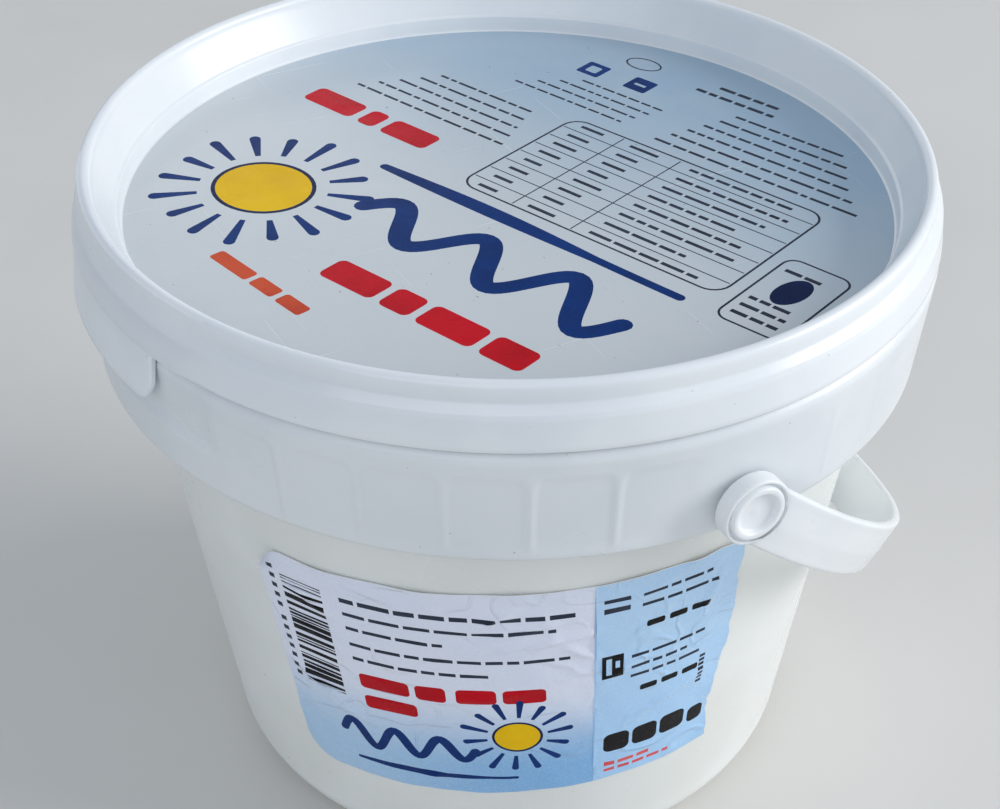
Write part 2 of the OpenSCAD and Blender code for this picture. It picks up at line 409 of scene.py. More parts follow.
def web(a):
    r0, r1, z0, z1, t = wall_r(COL_Z + 2.5) - 0.6, COL_LOW_R - COL_WALL + 0.5, COL_Z + 2.5, HOLLOW_Z + 0.3, 0.45
    base = len(V) + len(WV)
    outline = [(r0, z0 + 1.2), (r0 + 1.4, z0 + 0.15), (r1 - 1.0, z0), (r1, z0 + 0.4), (r1, z1), (r0, z1)]
    ca, sa = math.cos(math.radians(a)), math.sin(math.radians(a))
    for s in (-1, 1):
        for (x, zz) in outline:
            tt = t * (0.8 if zz < z1 - 1 else 1.15)
            WV.append((x * ca - s * tt * sa, x * sa + s * tt * ca, zz))
    n = len(outline)
    WF.append([base + i for i in range(n)][::-1])
    WF.append([base + n + i for i in range(n)])
    for i in range(n):
        j = (i + 1) % n
        WF.append([base + i, base + j, base + n + j, base + n + i])


for a in RIBS:
    web(a)

PP_BODY = plastic("pp_cream", srgb(238, 235, 224), srgb(226, 221, 206), rough=(0.30, 0.42), sss=0.22)
allV = np.vstack([V, np.array(WV)])
pot = build("pot_shell", allV.tolist(), F + WF, [PP_BODY])
fix_normals(pot)
sharp_by_angle(pot, 50)
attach(pot, "pot")
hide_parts("pot_body")

# collar is whiter than the body: same moulding, so one material with a height blend
n = Nodes("pp_pot")
zz = n.xyz()[2]
f = n.map(zz, (COL_Z - 0.6) * MM, (COL_Z + 0.8) * MM)
big = n.noise(38, 3, 0.5)
fine = n.noise(420, 4, 0.6)
body = n.mix(n.map(big, 0.36, 0.66), srgb(237, 239, 237), srgb(231, 233, 229))
coll = n.mix(n.map(big, 0.36, 0.66), srgb(230, 234, 237), srgb(223, 228, 232))
col = n.mix(f, body, coll)
# milky contents show faintly through the lower wall, with a paler fill line near the top
fill = n.map(n.math("ADD", zz, n.math("MULTIPLY", n.noise(24, 2, 0.5), 0.004)), 0.072, 0.079)
col = n.mix(n.math("MULTIPLY", n.math("MULTIPLY", fill, n.math("SUBTRACT", 1.0, f)), 0.35), col, srgb(233, 234, 230))
specks = n.map(n.noise(900, 1, 0.4), 0.80, 0.83)
col = n.mix(n.math("MULTIPLY", specks, 0.45), col, srgb(150, 140, 120))
n.link(col, n.b.inputs["Base Color"])
sc = n.math("MAXIMUM", n.scratches((0.3, 0.2, 0.5), (48, 1900, 1900)), n.scratches((0.9, 0.1, 2.1), (1700, 42, 1700)))
rr = n.map(n.noise(34, 3, 0.5), 0.3, 0.7, 0.26, 0.34)
n.link(n.math("ADD", rr, n.math("MULTIPLY", sc, 0.1)), n.b.inputs["Roughness"])
hgt = n.math("ADD", n.math("MULTIPLY", n.noise(1500, 2, 0.5), 0.4), n.math("MULTIPLY", n.noise(200, 2, 0.5), 1.3))
hgt = n.math("SUBTRACT", hgt, n.math("MULTIPLY", sc, 0.3))
n.link(n.bump(hgt, 0.00003, 0.8), n.b.inputs["Normal"])
n.b.inputs["IOR"].default_value = 1.49
n.b.inputs["Subsurface Weight"].default_value = 0.15
n.b.inputs["Subsurface Radius"].default_value = (1.0, 0.94, 0.86)
n.b.inputs["Subsurface Scale"].default_value = 0.004
pot.data.materials[0] = n.m

# ------------------------------------------------------------------ print shapes: polygons in a plane, painted in order
def rect(x0, y0, x1, y1):
    return [(x0, y0), (x1, y0), (x1, y1), (x0, y1)]


def rrect(x0, y0, x1, y1, r, n=6):
    out = []
    for cx, cy, a in ((x1 - r, y0 + r, -90), (x1 - r, y1 - r, 0), (x0 + r, y1 - r, 90), (x0 + r, y0 + r, 180)):
        out += [(cx + r * math.cos(math.radians(a + 90 * i / n)), cy + r * math.sin(math.radians(a + 90 * i / n))) for i in range(n + 1)]
    return out


def ellipse(cx, cy, rx, ry, rot=0.0, n=40):
    c, s = math.cos(rot), math.sin(rot)
    return [(cx + rx * math.cos(t) * c - ry * math.sin(t) * s, cy + rx * math.cos(t) * s + ry * math.sin(t) * c) for t in [2 * math.pi * i / n for i in range(n)]]


def ribbon(pts, widths, caps=6):
    """A band round a centre line, with round ends."""
    P = np.array(pts, float)
    T = np.gradient(P, axis=0)
    T /= np.linalg.norm(T, axis=1)[:, None]
    N = np.stack([-T[:, 1], T[:, 0]], 1)
    w = np.array(widths, float)[:, None] / 2
    L, R = P + N * w, P - N * w
    out = [tuple(p) for p in R]
    for (c, t, ww) in ((P[-1], T[-1], w[-1, 0]),):
        a0 = math.atan2(-t[0], t[1])
        out += [(c[0] + ww * math.cos(a0 + math.pi * i / caps), c[1] + ww * math.sin(a0 + math.pi * i / caps)) for i in range(1, caps)]
    out += [tuple(p) for p in L[::-1]]
    c, t, ww = P[0], T[0], w[0, 0]
    a0 = math.atan2(t[0], -t[1])
    out += [(c[0] + ww * math.cos(a0 + math.pi * i / caps), c[1] + ww * math.sin(a0 + math.pi * i / caps)) for i in range(1, caps)]
    return out


def petal(cx, cy, a, r0, r1, w0, w1, n=7):
    """A plain rounded ray: narrow inside, wider and round outside."""
    c, s = math.cos(a), math.sin(a)
    pts = [(r0, -w0 / 2)]
    pts += [(r1 - w1 / 2 + w1 / 2 * math.cos(t), w1 / 2 * math.sin(t)) for t in [(-0.5 + i / n) * math.pi for i in range(n + 1)]]
    pts += [(r0, w0 / 2)]
    return [(cx + x * c - y * s, cy + x * s + y * c) for x, y in pts]


def words(x0, x1, y, h, rnd, gap=0.7, lo=1.6, hi=6.0):
    """A line of plain bars, as long as words are."""
    out, x = [], x0
    while x < x1 - lo * 0.6:
        w = min(rnd.uniform(lo, hi), x1 - x)
        out.append(rect(x, y - h / 2, x + w, y + h / 2))
        x += w + gap
    return out


def turn(poly, a, ox=0, oy=0):
    c, s = math.cos(a), math.sin(a)
    return [(ox + x * c - y * s, oy + x * s + y * c) for x, y in poly]


def wave(x0, x1, y, amp0, amp1, periods, w, phase=0.0, n=None, slant=0.0):
    n = n or int(periods * 22)
    P = []
    for i in range(n + 1):
        t = i / n
        A = amp0 + (amp1 - amp0) * t
        yy = math.sin(2 * math.pi * periods * t + phase)
        P.append((x0 + (x1 - x0) * t + slant * A * yy, y + A * yy))
    return P


def triangulate(points, loops, background):
    """Constrained triangulation of painted loops. Returns 2-D verts, faces and for each face the list of loops it lies
    in, empty if none.
    """
    co, fl = list(points), []
    for lp in loops:
        fl.append(list(range(len(co), len(co) + len(lp))))
        co += lp
    bg = list(range(len(co), len(co) + len(background)))
    co += background
    vs, es, fs, ov, oe, of_ = delaunay_2d_cdt([Vector(p) for p in co], [], fl, 0, 1e-5, True)
    return vs, fs, of_


# ------------------------------------------------------------------ lid
NL = 480
LANG = np.arange(NL) * 360.0 / NL - 180.0
top_prof = (
    [(PANEL_R, PANEL_Z)]
    + rounded([(PANEL_R + 0.02, PANEL_Z + 0.02), (PANEL_R + 0.35, PANEL_Z + 0.15), (PANEL_R + 0.5, PANEL_Z + 2.7), (PANEL_R + 0.95, PANEL_Z + 3.05), (CREST_R - BEAD - 0.35, H - 1.9), (CREST_R - BEAD - 0.02, H - 1.2)], [0.25, 0.3, 0.3, 0.5], 3)
    + arc(CREST_R, H - BEAD, BEAD, 172, 2, 16)
    + dense(rounded([(CREST_R + BEAD + 0.02, H - 1.2), (CREST_R + BEAD + 0.05, H - 3.0), (SKIRT_R - 0.85, H - 4.25), (SKIRT_R - 0.55, H - 5.0), (SKIRT_R, SKIRT_Z + 0.35)], [0.7, 0.6, 0.8], 5), 0.5)
    + [(SKIRT_R - 0.12, SKIRT_Z + 0.08), (SKIRT_R - 0.4, SKIRT_Z), (SKIRT_R - 0.9, SKIRT_Z), (SKIRT_R - 1.1, SKIRT_Z + 0.2)]
    + [(SKIRT_R - 1.5, H - 5.3), (CREST_R + 0.35, H - 5.15), (CREST_R + 0.1, H - 2.1), (CREST_R - 0.55, H - 2.1), (PANEL_R + 1.8, PANEL_Z + 2.3), (PANEL_R + 1.2, PANEL_Z + 1.0), (PANEL_R + 0.9, PANEL_Z - 1.15), (0, PANEL_Z - 1.15)]
)
V, F, ring = lathe(top_prof, LANG)
V = np.array(V, float)
r = np.hypot(V[:, 0], V[:, 1]); z = V[:, 2]
ang = np.degrees(np.arctan2(V[:, 1], V[:, 0]))
ring_i = np.zeros(len(V), int)
for kk, s0 in enumerate(ring):
    ring_i[s0:] = kk
outs = (ring_i > [i for i, p in enumerate(top_prof) if abs(p[1] - H) < 0.02][0]) & (r > CREST_R + 0.7)
# the shoulder melts into a smooth slope above the lift tab
tabw = sstep(29, 19, np.abs(adiff(ang, TAB_A)))
slope_r = CREST_R + BEAD + (SKIRT_R + 0.15 - CREST_R - BEAD) * sstep(H - 1.2, SKIRT_Z + 0.2, z)
blend_r = np.where(outs & (z > SKIRT_Z + 0.1), slope_r, r)
newr = r + (blend_r - r) * tabw
newr += np.where(outs, 0.05 * wobble(ang * 1.0 + 15, z * 2.0), 0)
newr += np.where((r > PANEL_R + 0.1) & (r < CREST_R) & (z > PANEL_Z + 0.1), 0.05 * wobble(ang + 75, z), 0)
k = np.where(r > 1e-6, newr / np.maximum(r, 1e-6), 1)
V[:, 0] *= k; V[:, 1] *= k
V[:, 2] += np.where(r > CREST_R - 3, 0.10 * np.sin(np.radians(ang * 2 + 30)) * sstep(SKIRT_Z, H, z) - 0.10 * sstep(SKIRT_Z, H, z), 0)
V[:, 2] -= np.where((r > SKIRT_R - 1.3) & (z < SKIRT_Z + 0.5), 0.16 * (1 - tabw), 0)
lidV = [tuple(v) for v in V]
lidF = [f for f in F]
lid_idx = [0] * len(lidF)

# printed panel: frame of the print is turned 21 degrees in plan
PA = math.radians(21.0)


def pq(poly):
    return turn(poly, PA)


L = []                                           # (material index, polygon), painted in order


def add(lst, mi, poly):
    lst.append((mi, poly))


lr = random.Random(21)
# yellow disc with plain rays
sx, sy = -31.0, -25.3
nray = 16
for i in range(nray):
    a = 2 * math.pi * (i + 0.3) / nray
    add(L, 1, pq(petal(sx, sy, a, 10.6, 17.6 + 0.8 * math.sin(i * 2.1), 0.9, 1.9)))
add(L, 2, pq(ellipse(sx, sy, 8.7, 8.2)))
add(L, 5, pq(ellipse(sx, sy, 8.0, 7.5)))
# broad blue wave and bar
wp = wave(-15.0, 37.0, -18.8, 4.2, 6.0, 3.0, 2.9, 0.0, 84, 0.0)
add(L, 1, pq(ribbon(wp, [3.4 - 0.3 * math.cos(i * 0.23) for i in range(len(wp))])))
add(L, 1, pq(ribbon([(-21.4 + 60.4 * i / 30, -7.2 + 0.25 * math.sin(i / 7)) for i in range(31)], [1.7 + 1.3 * math.sin(math.pi * min(1, i / 22)) for i in range(31)])))
# red blocks
for x0, x1 in ((-49.5, -38.2), (-36.6, -32.8), (-31.2, -21.0)):
    add(L, 3, pq(rrect(x0, 1.2, x1, 6.4, 1.2)))
for x0, x1 in ((-6.0, 4.8), (6.2, 12.0), (13.4, 24.2), (25.6, 33.5)):
    add(L, 3, pq(rrect(x0, -38.0, x1, -32.4, 1.2)))
for x0, x1 in ((-21.5, -12.5), (-11.6, -6.2), (-5.2, 0.4)):
    add(L, 4, pq(turn(rrect(x0 + 10.5, -1.35, x1 + 10.5, 1.35, 0.6), -0.12, -10.5, -45.4)))
# small plain lines left of the table
for i in range(5):
    for w in words(-46 + 2.2 * i, -12 - 1.0 * i, 11.6 + 3.1 * i, 0.62, lr, 0.55, 1.2, 4.6):
        add(L, 6, pq(w))
# table: rounded outline, head row, rows and columns
TX0, TX1, TY0, TY1 = -9.0, 43.0, -3.2, 27.5
add(L, 6, pq(rrect(TX0, TY0, TX1, TY1, 3.4)))
add(L, 0, pq(rrect(TX0 + 0.4, TY0 + 0.4, TX1 - 0.4, TY1 - 0.4, 3.0)))
rows = 8
for i in range(1, rows):
    y = TY0 + (TY1 - TY0) * i / rows
    add(L, 6, pq(rect(TX0 + 0.6, y - 0.12, TX1 - 0.6, y + 0.12)))
for i in range(rows):
    y = TY0 + (TY1 - TY0) * (i + 0.5) / rows
    for w in words(TX0 + 26, TX0 + 26 + lr.uniform(14, 23), y, 0.78, lr, 0.55, 1.6, 5.2):
        add(L, 6, pq(w))
    add(L, 6, pq(rect(TX0 + 3.0, y - 0.4, TX0 + 3.0 + lr.uniform(3.0, 5), y + 0.4)))
    add(L, 6, pq(rect(TX0 + 13.5, y - 0.4, TX0 + 13.5 + lr.uniform(3, 6), y + 0.4)))
for x in (TX0 + 11.2, TX0 + 23.2):
    add(L, 6, pq(rect(x - 0.12, TY0 + 0.6, x + 0.12, TY1 - 0.6)))
# small rounded box with a dark oval
add(L, 6, pq(rrect(45.0, -8.0, 57.0, 13.2, 2.4)))
add(L, 0, pq(rrect(45.4, -7.6, 56.6, 12.8, 2.0)))
add(L, 2, pq(ellipse(50.9, 4.6, 4.2, 2.5, 1.45)))
for i, y in enumerate((-5.2, -2.8, -0.4, 9.4)):
    for w in words(46.6, 55.4 - 0.8 * i, y, 0.85, lr, 0.5, 1.4, 3.4):
        add(L, 6, pq(w))
# lines above the table
for i in range(6):
    y = 30.6 + 3.15 * i
    half = math.sqrt(max(0, 57.5 ** 2 - y * y))
    for w in words(6.0 + i * 1.2, min(half, 47 - 2.6 * i), y, 0.7, lr, 0.55, 1.2, 4.8):
        add(L, 6, pq(w))
for i in range(4):
    for w in words(-26 + 3 * i, -2 + i, 31.5 + 2.7 * i, 0.55, lr, 0.5, 1.0, 3.6):
        add(L, 6, pq(w))
# two plain squares and a thin ellipse outline
add(L, 1, pq(rrect(-20.6, 42.0, -15.8, 46.8, 0.5)))
add(L, 0, pq(rrect(-19.4, 43.2, -17.0, 45.6, 0.4)))
add(L, 1, pq(rrect(-10.4, 42.6, -5.6, 47.4, 0.5)))
add(L, 0, pq(rect(-9.2, 44.6, -6.8, 45.3)))
add(L, 6, pq(ellipse(-12.6, 52.2, 3.6, 2.3, 0.1)))
add(L, 0, pq(ellipse(-12.6, 52.2, 3.25, 1.95, 0.1)))
for i in range(2):
    for w in words(0.5 + 3 * i, 17.0, 50.6 + 3.1 * i, 0.95, lr, 0.6, 1.6, 4):
        add(L, 6, pq(w))

bound = [(PANEL_R * math.cos(math.radians(a)), PANEL_R * math.sin(math.radians(a))) for a in LANG]
pts = []
for rad in (8, 16, 24, 32, 40, 48, 55, 59.5):
    m = int(rad * 2 * math.pi / 6)
    pts += [(rad * math.cos(2 * math.pi * i / m), rad * math.sin(2 * math.pi * i / m)) for i in range(m)]
polys = [bound] + [p for _, p in L]
mats = [0] + [m for m, _ in L]
vs, fs, of_ = triangulate(pts, polys, [])
base = len(lidV)
b0 = ring[0]
key = {}
for i, a in enumerate(LANG):
    key[(round(bound[i][0], 4), round(bound[i][1], 4))] = b0 + i
vid = []
for v in vs:
    kx = (round(v.x, 4), round(v.y, 4))
    if kx in key:
        vid.append(key[kx])
    else:
        rr_ = math.hypot(v.x, v.y)
        sag = -0.28 * (1 - (rr_ / PANEL_R) ** 2) + 0.05 * math.sin(v.x * 0.09 + 1) * math.sin(v.y * 0.08 + 2) * (1 - (rr_ / PANEL_R) ** 4)
        lidV.append((v.x, v.y, PANEL_Z + sag))
        vid.append(len(lidV) - 1)
for f_, o_ in zip(fs, of_):
    if not o_:
        continue
    top = max(o_)
    tri = [vid[i] for i in f_]
    if len(set(tri)) < 3:
        continue
    lidF.append(tri)
    lid_idx.append(7 if mats[top] == 0 else mats[top])

# lift tab: a curved plate that leans out, with rounded lower corners and a rolled edge
TW, TD, TC, TT = 17.4, 8.2, 4.0, 1.1
cols, rows_ = 64, 16


def tab_low(x):
    ax = abs(x)
    if ax > TW - TC:
        q = (ax - (TW - TC)) / TC
        return -TD + TC - TC * math.sqrt(max(0.0, 1 - q * q))
    return -TD


tb = len(lidV)
grid = {}
for side in (0, 1):
    for i in range(cols + 1):
        t = -1 + 2 * i / cols
        x = TW * math.sin(t * math.pi / 2) if abs(t) < 1 else TW * t
        lo = tab_low(x)
        for j in range(rows_ + 1):
            s = j / rows_
            yy = 1.4 + (lo - 1.4) * s
            lean = 0.12 + 0.16 * (-yy) if yy < 0 else 0.12 - 0.25 * yy
            edge = min(1.0, min(TW - abs(x), yy - lo) / 0.55)
            bev = 0.32 * (1 - math.sqrt(max(0, 1 - (1 - max(0, edge)) ** 2)))
            rad = SKIRT_R - 0.15 + lean - bev if side == 0 else SKIRT_R - 0.15 + lean - TT + bev
            if side == 1 and yy > -0.4:
                rad = min(rad, SKIRT_R - 0.7)
            aa = math.asin(max(-1, min(1, x / 69.2)))
            lidV.append((rad * math.sin(aa), -rad * math.cos(aa), SKIRT_Z + yy))
            grid[(side, i, j)] = len(lidV) - 1
for side in (0, 1):
    for i in range(cols):
        for j in range(rows_):
            q = [grid[(side, i, j)], grid[(side, i + 1, j)], grid[(side, i + 1, j + 1)], grid[(side, i, j + 1)]]
            lidF.append(q if side else q[::-1]); lid_idx.append(0)
for i in range(cols):
    for j in (0, rows_):
        q = [grid[(0, i, j)], grid[(0, i + 1, j)], grid[(1, i + 1, j)], grid[(1, i, j)]]
        lidF.append(q); lid_idx.append(0)
for j in range(rows_):
    for i in (0, cols):
        q = [grid[(0, i, j)], grid[(0, i, j + 1)], grid[(1, i, j + 1)], grid[(1, i, j)]]
        lidF.append(q); lid_idx.append(0)

PP_LID = plastic("pp_lid", srgb(238, 242, 245), srgb(231, 236, 241), rough=(0.20, 0.27), sss=0.12)
# printed film of the panel: cool white kept darker than the film's own white, partly as painted shade of the panel sunk
# under the rim, turning pale blue towards the far side
n = Nodes("lid_film")
xy = n.xyz()
q_ = n.math("ADD", n.math("MULTIPLY", xy[0], -math.sin(PA)), n.math("MULTIPLY", xy[1], math.cos(PA)))
g = n.map(n.math("ADD", q_, n.math("MULTIPLY", n.noise(30, 2, 0.5), 0.008)), -0.012, 0.052)
# the whites here and in the mottle below sit about a fifth under the film's real white: its own colour plus painted
# shade
col = n.mix(g, srgb(209, 214, 217), srgb(160, 186, 207))
col = n.mix(n.math("MULTIPLY", n.map(n.noise(45, 4, 0.6), 0.4, 0.7), 0.22), col, srgb(200, 206, 210))
sp = n.map(n.noise(1100, 1, 0.4), 0.795, 0.83)
col = n.mix(n.math("MULTIPLY", sp, 0.6), col, srgb(120, 118, 112))
hair = n.math("MAXIMUM", n.scratches((0, 0, 0.7), (24, 2300, 2300), 0.73, 0.76), n.scratches((0, 0, 2.3), (2100, 30, 2100), 0.73, 0.76))
col = n.mix(n.math("MULTIPLY", hair, 0.35), col, srgb(246, 247, 248))
n.link(col, n.b.inputs["Base Color"])
rr = n.map(n.noise(60, 4, 0.6), 0.3, 0.7, 0.16, 0.27)
n.link(n.math("ADD", rr, n.math("MULTIPLY", hair, 0.25)), n.b.inputs["Roughness"])
hh = n.math("ADD", n.math("MULTIPLY", n.noise(160, 3, 0.5), 2.0), n.math("MULTIPLY", n.noise(900, 2, 0.5), 0.4))
n.link(n.bump(hh, 0.00004, 0.7), n.b.inputs["Normal"])
n.b.inputs["IOR"].default_value = 1.5
FILM = n.m
lid = build("lid_shell", lidV, lidF, [PP_LID, BLUE, NAVY, RED, ORANGE, YELLOW, TEXT, FILM], lid_idx)
fix_normals(lid)
sharp_by_angle(lid, 42)
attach(lid, "pot")
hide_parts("lid")

# ------------------------------------------------------------------ label
LA, LZ, LR_, LPHI = -29.5, 46.0, 57.3, math.radians(3.3)
S0, S1, T0, T1 = -39.0, 37.4, -24.6, 25.2
er = random.Random(5)


def right_edge(t):
    # torn edge: slow swing and small bites
    return S1 + 1.1 * math.sin((t + 4) * 0.13) + 1.2 * sstep(16.0, 19.5, t) + 0.16 * math.sin(t * 0.9 + 0.5) + 0.10 * math.sin(t * 2.1 + 2) - 0.7 * math.exp(-((t + 13) / 1.2) ** 2)


outline = []
# bottom, left to right, with a round left corner
for i in range(9):
    a = math.pi + math.pi / 2 * i / 8
    outline.append((S0 + 5.5 + 5.5 * math.cos(a), T0 + 5.5 + 5.5 * math.sin(a)))
for i in range(1, 60):
    s = S0 + 5.5 + (S1 - 2 - S0 - 5.5) * i / 60
    outline.append((s, T0 + 0.10 * math.sin(s * 0.4)))
for i in range(61):
    t = T0 + 0.6 + (T1 - 0.6 - T0 - 0.6) * i / 60
    outline.append((right_edge(t), t))
for i in range(1, 62):
    s = S1 - 2 + (S0 + 0.6 - S1 + 2) * i / 62
    outline.append((s, T1 + 0.12 * math.sin(s * 0.33 + 1)))
for i in range(1, 40):
    outline.append((S0 + 0.12 * math.sin(i * 0.7), T1 - 0.3 + (T0 + 5.6 - T1) * i / 40))

B = []
add(B, 1, rect(14.3, T0 - 3, S1 + 4, T1 + 3))                 # right field
# bars in a block, each with its own width
bx = random.Random(3)
t = -4.2
k = 0
while t < 20.6:
    w = bx.choice((0.28, 0.28, 0.55, 0.55, 0.82, 1.1))
    add(B, 3, rect(-34.8, t, -27.2, min(t + w, 20.8)))
    t += w + bx.choice((0.28, 0.3, 0.55, 0.8))
for i in range(13):
    yy = -4.0 + 2.15 * i + (1.0 if i > 6 else 0.0)
    if yy < 21.0:
        add(B, 2, rect(-37.2, yy, -36.1, yy + 1.0))
for y, x1, h in ((19.5, 12.2, 1.0), (16.4, 8.5, 0.75), (13.2, -8.5, 0.75), (9.5, 10.5, 0.75), (6.2, -0.5, 0.75)):
    for w in words(-24, x1, y, h, bx, 0.65, 1.6, 5.2):
        add(B, 2, w)
for x0, x1 in ((-23.7, -15.2), (-14.2, -9.2), (-7.6, -1.2), (-0.2, 6.6)):
    add(B, 4, rrect(x0, -0.7, x1, 2.7, 0.8))
add(B, 4, rrect(-23.5, -5.6, -14.4, -2.5, 0.8))
sx, sy = 1.6, -9.4
for i in range(14):
    a = 2 * math.pi * (i + 0.3) / 14
    add(B, 5, petal(sx, sy, a, 5.0, 9.3 + 0.4 * math.sin(i * 2.3), 0.6, 1.2))
add(B, 6, ellipse(sx, sy, 4.2, 3.9))
add(B, 7, ellipse(sx, sy, 3.75, 3.45))
wp = wave(-29.2, -5.6, -13.2, 3.0, 2.4, 3.0, 1.5, 0.0, 66, 0.0)
add(B, 5, ribbon(wp, [1.7 - 0.15 * math.cos(i * 0.3) for i in range(len(wp))]))
add(B, 5, ribbon([(-27.5 + 28.5 * i / 24, -20.3 + 0.15 * math.sin(i / 5)) for i in range(25)], [0.7 + 0.8 * math.sin(math.pi * min(1, i / 20)) for i in range(25)]))
# right field: lines, bold bars, a small square, a big mark and a small pink line
for y, x0, x1, h in ((21.0, 21.5, 33.0, 0.7), (18.4, 21.5, 34.2, 0.7), (6.6, 20.2, 34.4, 0.7), (4.0, 20.2, 30.0, 0.7), (1.6, 20.2, 33.0, 0.7)):
    for w in words(x0, x1, y, h, bx, 0.6, 1.5, 4.2):
        add(B, 2, w)
for x0, x1 in ((15.6, 19.6),):
    add(B, 2, rect(x0, 20.6, x1, 21.4))
    add(B, 2, rect(x0, 18.2, x1, 19.4))
for x0, x1, y in ((22.4, 25.4, 13.6), (26.2, 29.2, 13.6), (30.0, 33.2, 13.6), (22.0, 25.0, -2.2), (25.8, 28.8, -2.2), (29.6, 32.6, -2.2)):
    add(B, 3, rrect(x0, y - 0.7, x1, y + 0.7, 0.4))
add(B, 3, rect(15.4, 2.6, 18.9, 8.0))
add(B, 1, rect(16.1, 3.4, 17.0, 7.2))
add(B, 1, rect(17.6, 4.8, 18.3, 6.4))
for x0, x1 in ((16.0, 20.6), (21.2, 25.8), (26.4, 31.2)):
    add(B, 3, rrect(x0, -17.4, x1, -12.6, 1.2))
add(B, 3, rrect(32.0, -17.8, 35.2, -13.8, 1.1))
for w in words(16.2, 24.6, -20.6, 1.0, bx, 0.6, 1.4, 3.0):
    add(B, 8, w)
for w in words(16.2, 28.6, -22.4, 0.8, bx, 0.6, 1.4, 3.0):
    add(B, 8, w)
for i in range(7):
    add(B, 2, rect(32.6 + 0.05 * i, -7.0 + 1.05 * i, 33.7 + 0.05 * i, -6.3 + 1.05 * i))

gp = []
gs = 0.62
for i in range(int((S1 + 4 - S0) / gs) + 2):
    for j in range(int((T1 - T0) / gs) + 2):
        s = S0 - 0.5 + gs * (i + (0.5 if j % 2 else 0.0)); t = T0 - 0.3 + gs * j
        gp.append((s, t))


def inside(p, poly):
    x, y = p
    c = False
    j = len(poly) - 1
    for i in range(len(poly)):
        xi, yi = poly[i]; xj, yj = poly[j]
        if (yi > y) != (yj > y) and x < (xj - xi) * (y - yi) / (yj - yi) + xi:
            c = not c
        j = i
    return c


gp = [p for p in gp if inside(p, outline)]
vs, fs, of_ = triangulate(gp, [outline] + [p for _, p in B], [])
bm_idx = [0] + [m for m, _ in B]

# creases of the paper: short diagonal ridges, most of them right of the middle
cr = []
c_r = random.Random(11)
for s, t, a, ln, wd, am in ((-1.0, 19.2, 0.62, 5.5, 0.75, 0.36), (4.0, 17.0, 0.35, 5.0, 0.7, 0.26), (9.0, 14.2, 0.16, 6.5, 0.8, 0.36), (12.3, 10.3, 2.5, 4.0, 0.75, 0.36), (8.0, 9.0, 2.75, 5.0, 0.8, -0.22),
                            (-30.0, 17.0, 2.6, 6.0, 0.9, 0.22), (-33.0, -3.0, 2.7, 6.5, 1.0, 0.26), (-26.0, -8.5, 2.8, 6.0, 0.9, 0.22), (26.0, 23.2, 0.42, 9.0, 0.9, 0.28), (33.2, 15.0, 1.2, 6.0, 0.8, 0.28), (28.0, -6.0, 0.4, 8.0, 1.0, 0.2),
                            (-8.0, 0.0, 0.2, 8.0, 1.0, 0.12), (20.0, -20.0, 0.3, 7.0, 1.0, 0.14), (-20.0, 22.5, 0.1, 8.0, 1.0, 0.16)):
    cr.append((s, t, math.cos(a), math.sin(a), ln, wd * 0.92, am * 1.55))
for i in range(26):
    s = c_r.uniform(-14, 20) if i < 18 else c_r.uniform(-34, 34)
    t = c_r.uniform(0, 23) if i < 18 else c_r.uniform(-22, 22)
    a = c_r.choice((0.55, 0.75, 1.9, 0.2)) + c_r.uniform(-0.25, 0.25)
    cr.append((s, t, math.cos(a), math.sin(a), c_r.uniform(3, 9), c_r.uniform(0.7, 1.1), c_r.uniform(0.07, 0.19)))


def paper(s, t):
    h = 0.05 + 0.04 * math.sin(s * 0.31 + 0.7) * math.sin(t * 0.27) + 0.03 * math.sin(s * 0.9 + t * 0.5)
    for (cs, ct, ux, uy, ln, wd, am) in cr:
        dx, dy = s - cs, t - ct
        a = dx * ux + dy * uy
        b = -dx * uy + dy * ux
        b += 0.05 * a * a / ln
        if abs(a) < ln:
            h += am * math.exp(-(b / wd) ** 2) * (1 - (a / ln) ** 2)
    e = right_edge(t) - s
    h += 0.30 * max(0.0, 1 - e / 3.0) ** 2 * (0.6 + 0.5 * math.sin(t * 0.55 + 1))
    e = T1 - t
    h += 0.22 * max(0.0, 1 - e / 2.2) ** 2 * (0.55 + 0.5 * math.sin(s * 0.42))
    return max(0.03, h)


def place(s, t, off):
    """Label coordinates to the pot's wall, with the torn corner rolled back on itself."""
    # distance beyond the roll line of the upper left corner
    nx, ny = -0.80, 0.60
    d = (s - (S0 + 3.9)) * nx + (t - (T1 - 1.9)) * ny
    lift = paper(s, t)
    if d > 0:
        R = 1.25
        th = d / R
        s -= nx * (d - R * math.sin(th)) ; t -= ny * (d - R * math.sin(th))
        lift += R * (1 - math.cos(th))
        off = off * math.cos(th)
    X = s * math.cos(LPHI) - t * math.sin(LPHI)
    Z = LZ + s * math.sin(LPHI) + t * math.cos(LPHI)
    a = math.radians(LA) + X / LR_
    rad = wall_r(Z) + lift + off + 0.09
    return (rad * math.cos(a), rad * math.sin(a), Z - 0.11 * (lift + off))


PT = 0.13
LV = [place(v.x, v.y, PT) for v in vs]
nb = len(LV)
LV += [place(v.x, v.y, 0.0) for v in vs]
LF, LI = [], []
edges = {}
for f_, o_ in zip(fs, of_):
    if not o_ or 0 not in o_:
        continue
    f_ = list(f_)
    LF.append(f_); LI.append(bm_idx[max(o_)])
    LF.append([i + nb for i in f_[::-1]]); LI.append(9)
    for a, b in zip(f_, f_[1:] + f_[:1]):
        kx = (min(a, b), max(a, b))
        edges.setdefault(kx, []).append((a, b))
for kx, lst in edges.items():
    if len(lst) == 1:
        a, b = lst[0]
        LF.append([b, a, a + nb, b + nb]); LI.append(9)


